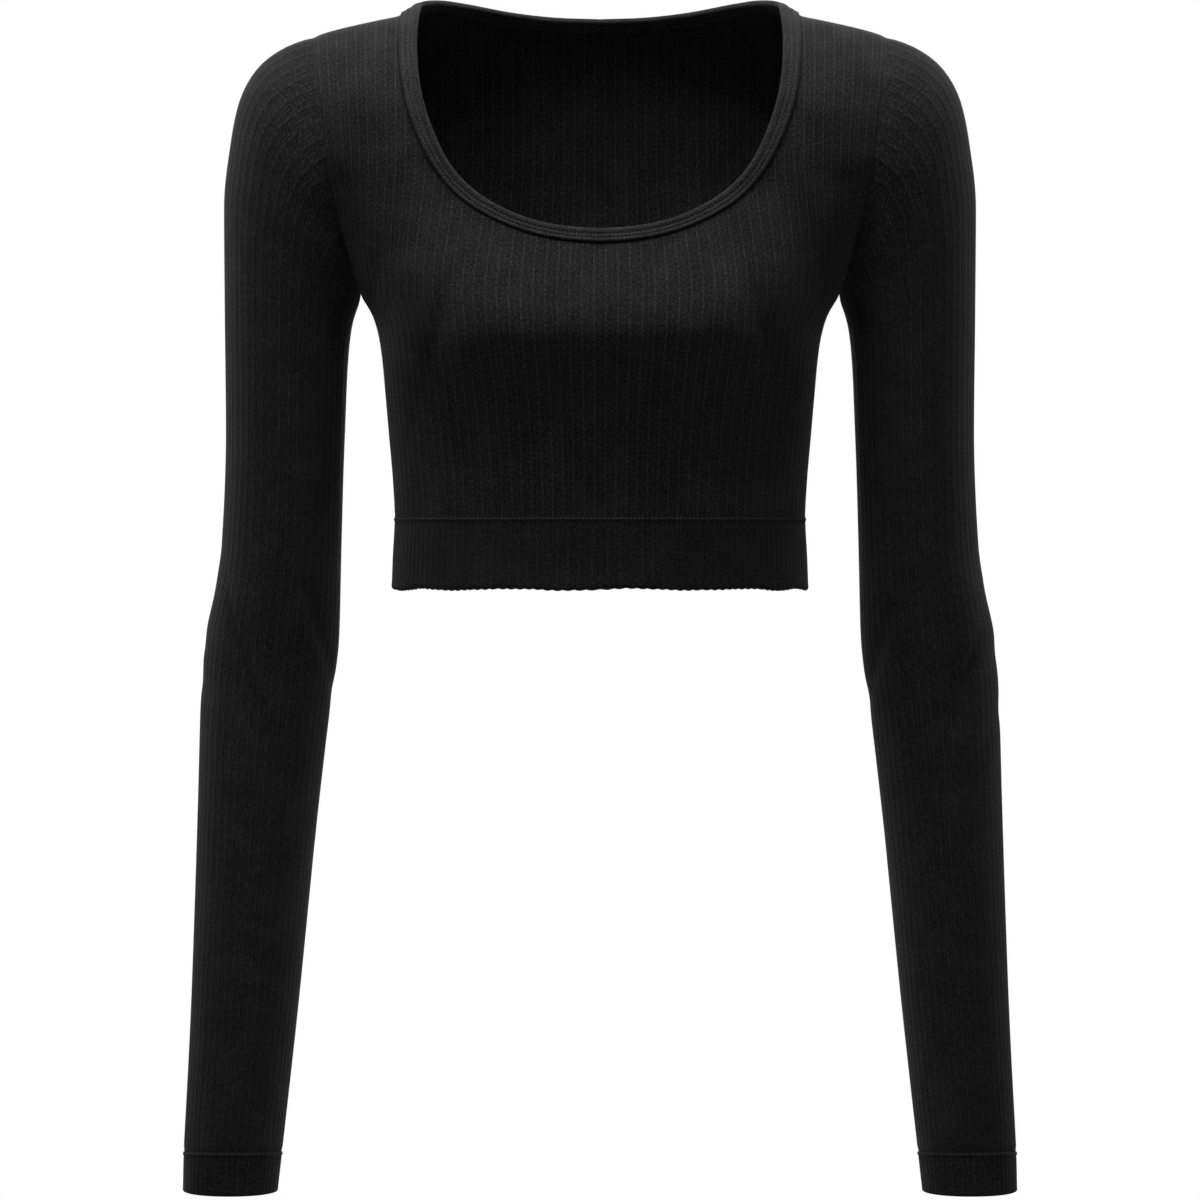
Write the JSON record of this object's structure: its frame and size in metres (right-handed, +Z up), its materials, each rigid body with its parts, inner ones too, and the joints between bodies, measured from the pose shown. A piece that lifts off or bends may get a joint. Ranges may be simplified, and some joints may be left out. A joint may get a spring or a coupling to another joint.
{
  "type": "crop top",
  "caption": "Long-sleeved crop top in ribbed knit with a scooped bound neck, set-in sleeves, a ribbed waistband and cuffs, filled out as if worn.",
  "frame": {"origin": "between the shoulders, level with the points where the shoulder seams meet the neck", "axes": "+Z up, the front of the garment faces -Y, +X towards the wearer's left"},
  "size_m": [0.4506, 0.1986, 0.6454],
  "materials": {
    "body_knit": "matt ribbed knit, raised ribs about 5 mm apart",
    "sleeve_knit": "matt ribbed knit, raised ribs about 5 mm apart",
    "band_knit": "firm matt rib",
    "binding_knit": "smooth fine knit, stitched"
  },
  "bodies": {
    "root": {"front": "body_knit", "back": "body_knit", "sleeve_left": "sleeve_knit", "sleeve_right": "sleeve_knit", "cuff_left": "band_knit", "cuff_right": "band_knit", "waistband": "band_knit", "neck_binding": "binding_knit"}
  },
  "joints": []
}
